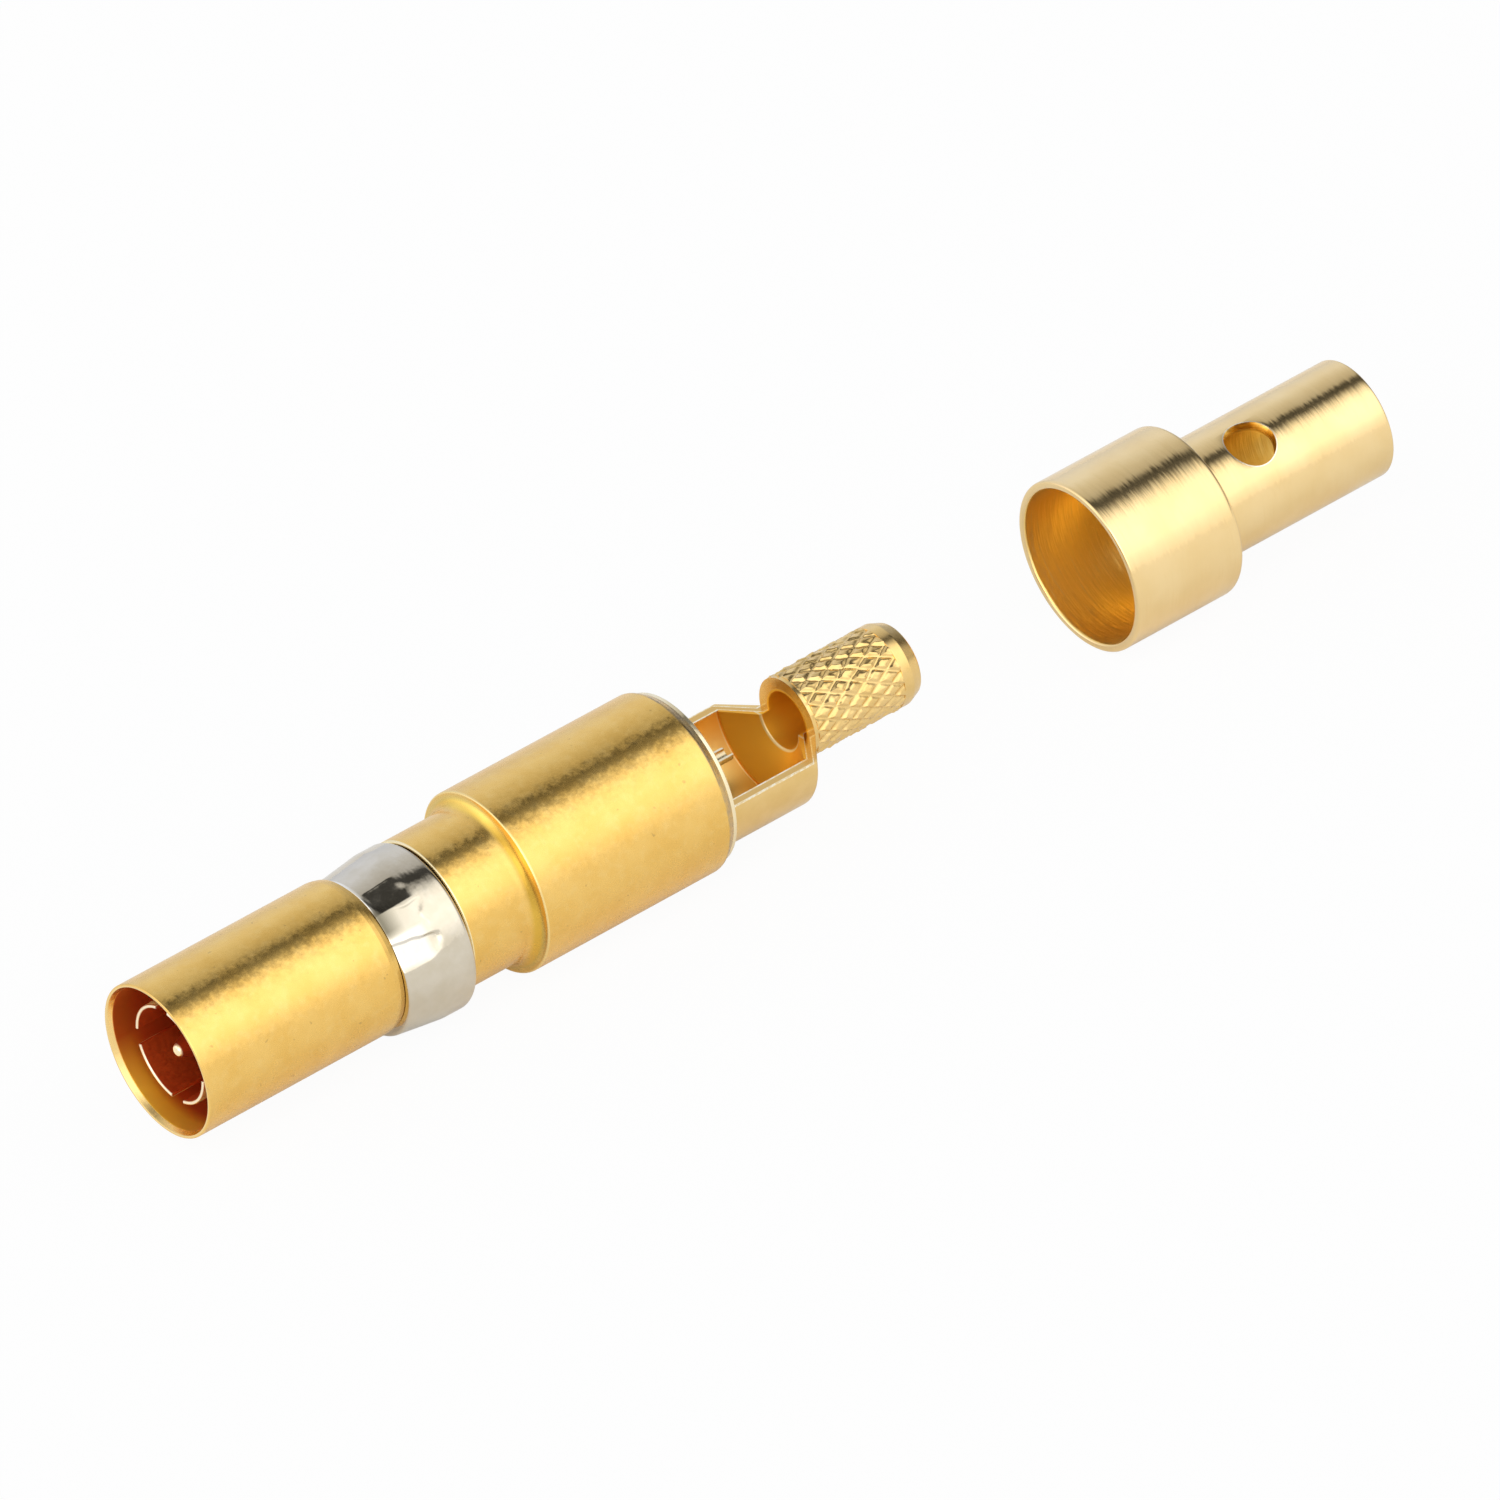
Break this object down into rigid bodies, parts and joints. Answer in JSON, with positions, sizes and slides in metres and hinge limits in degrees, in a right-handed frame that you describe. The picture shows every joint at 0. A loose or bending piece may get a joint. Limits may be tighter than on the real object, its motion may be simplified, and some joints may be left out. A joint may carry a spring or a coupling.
{
  "type": "coaxial plug",
  "caption": "Turned coaxial plug contact with a slotted inner tube, snap-in retention clip, half-cut solder window and knurled crimp stem, with its stepped crimp ferrule in line behind it.",
  "frame": {"origin": "on the plug's axis at the front shoulder of its barrel, the seat against a connector insert", "axes": "+X along the axis from the mouth to the cable end, +Z out of the open side of the solder window"},
  "size_m": [0.0477, 0.0062, 0.0062],
  "materials": {
    "shell_gold": "matte deep yellow gold plating",
    "contact_gold": "satin gold plating",
    "crimp_gold": "bright pale gold plating",
    "ferrule_gold": "bright pale gold plating with turning lines",
    "clip_nickel": "bright nickel plating",
    "insulator": "smooth white plastic"
  },
  "bodies": {
    "root": {"shell": "shell_gold", "retention_clip": "clip_nickel", "spring_socket": "contact_gold", "front_insulator": "insulator", "centre_pin": "contact_gold", "rear_insulator": "insulator", "crimp_body": "crimp_gold", "crimp_ferrule": "ferrule_gold"}
  },
  "joints": []
}
